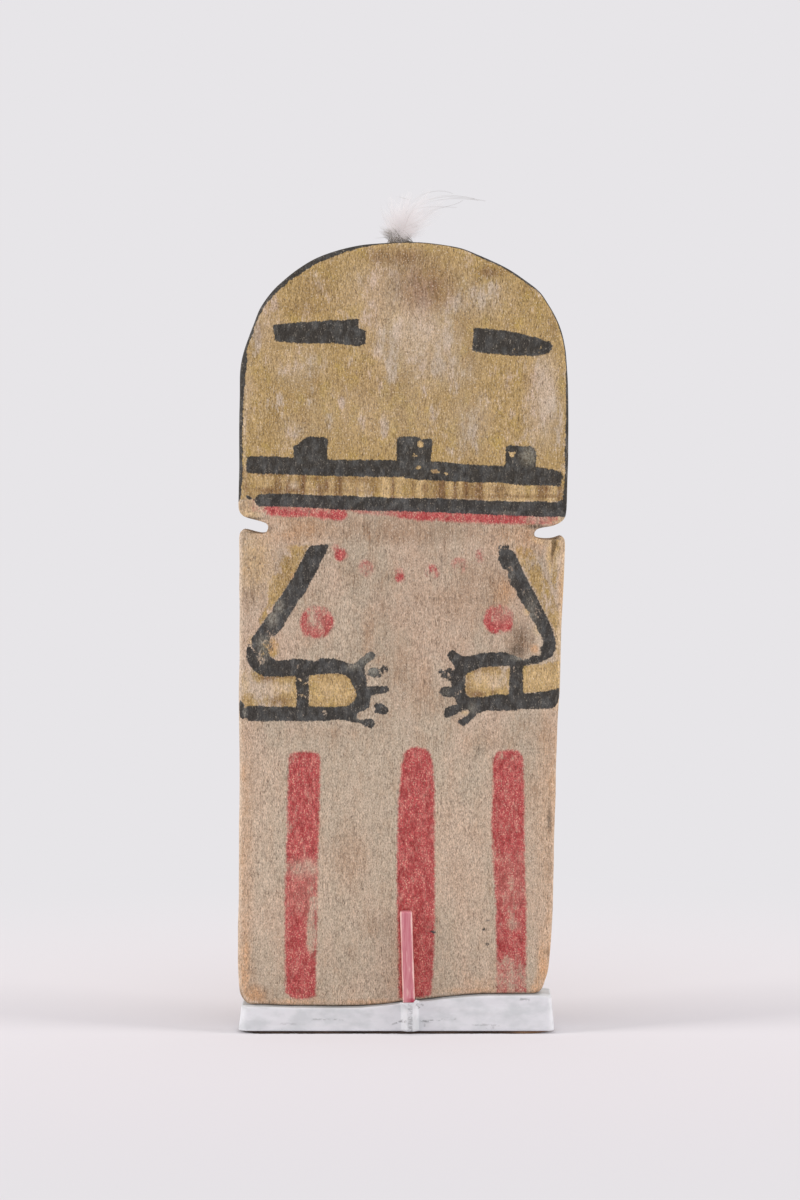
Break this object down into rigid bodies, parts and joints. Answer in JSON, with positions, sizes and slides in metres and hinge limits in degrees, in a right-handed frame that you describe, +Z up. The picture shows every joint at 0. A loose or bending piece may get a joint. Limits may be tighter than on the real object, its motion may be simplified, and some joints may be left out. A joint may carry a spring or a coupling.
{
  "type": "kachina doll",
  "caption": "Flat carved wooden kachina doll with a domed head, notched neck and down plume, held upright on a narrow painted stand with upright bars.",
  "frame": {"origin": "on the surface the stand rests on, under the middle of the whole work", "axes": "+Z up towards the head, +Y from the painted front to the back, +X to the right seen from the front"},
  "size_m": [0.083, 0.0182, 0.2118],
  "materials": {
    "painted_cottonwood": "dry matt earth paint over weathered carved wood",
    "white_down": "soft white down, dark and matted at its root",
    "white_stand_paint": "brushed-on satin white paint with small scuffs",
    "pink_bar_paint": "glossy streaked pink paint",
    "tan_bar_paint": "satin tan paint",
    "brown_felt": "thin dark brown felt"
  },
  "bodies": {
    "root": {"carved_board": "painted_cottonwood", "down_plume": "white_down", "stand_base": "white_stand_paint", "front_prong": "pink_bar_paint", "back_prong": "tan_bar_paint", "base_pad": "brown_felt"}
  },
  "joints": []
}
